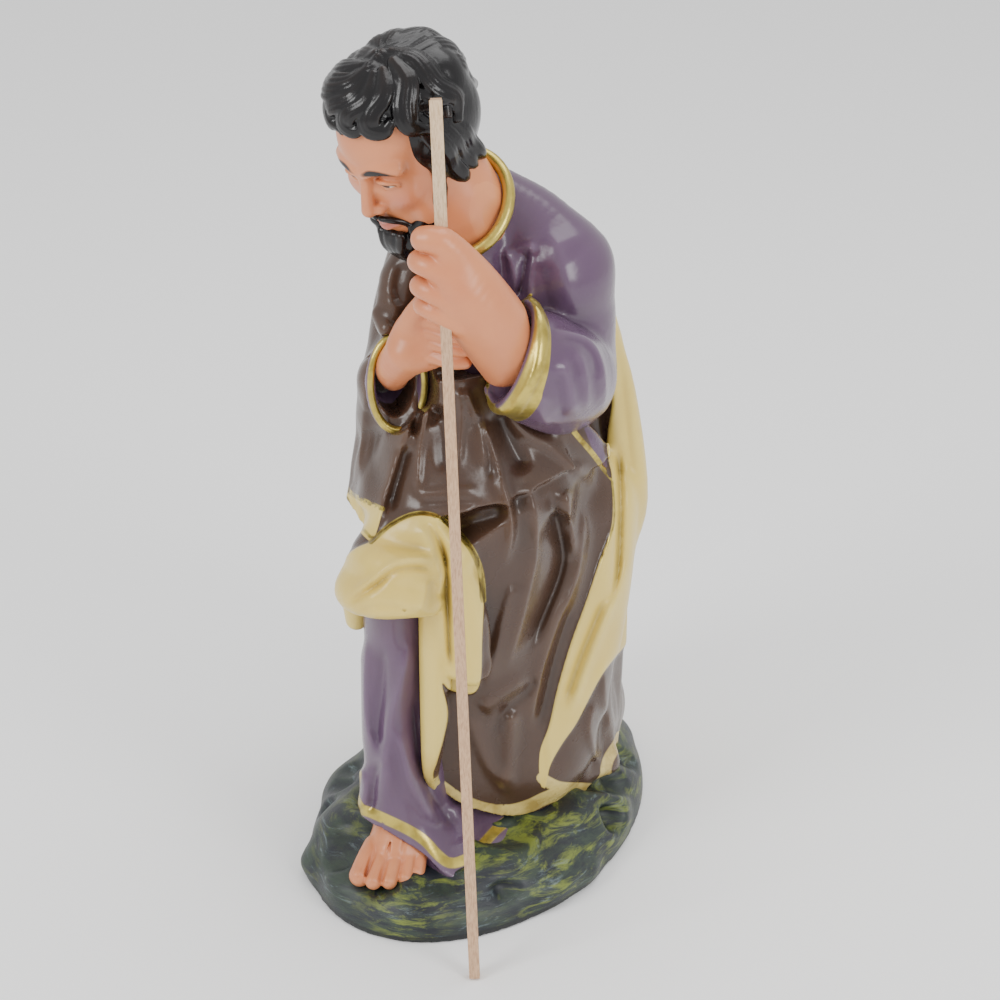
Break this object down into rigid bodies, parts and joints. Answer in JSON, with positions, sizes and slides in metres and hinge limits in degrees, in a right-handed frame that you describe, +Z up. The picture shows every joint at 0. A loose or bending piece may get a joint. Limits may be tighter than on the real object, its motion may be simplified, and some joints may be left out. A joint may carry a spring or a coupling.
{
  "type": "kneeling bearded saint statue with staff",
  "caption": "Painted cast figure of a kneeling, bearded man in tunic and mantle on an oval mound, holding a loose square wooden staff.",
  "frame": {"origin": "centre of the mound's flat underside, on the floor", "axes": "+Z up, -Y the way the mound's narrow front end and the kneeling figure face, +X to the figure's left"},
  "size_m": [0.2855, 0.4744, 0.7996],
  "materials": {
    "casting": "gloss paint over cast resin",
    "pine": "bare planed softwood",
    "strip": "bare thin softwood strip"
  },
  "bodies": {
    "root": {"figure": "casting", "staff": "pine", "staff_strip": "strip"}
  },
  "joints": []
}
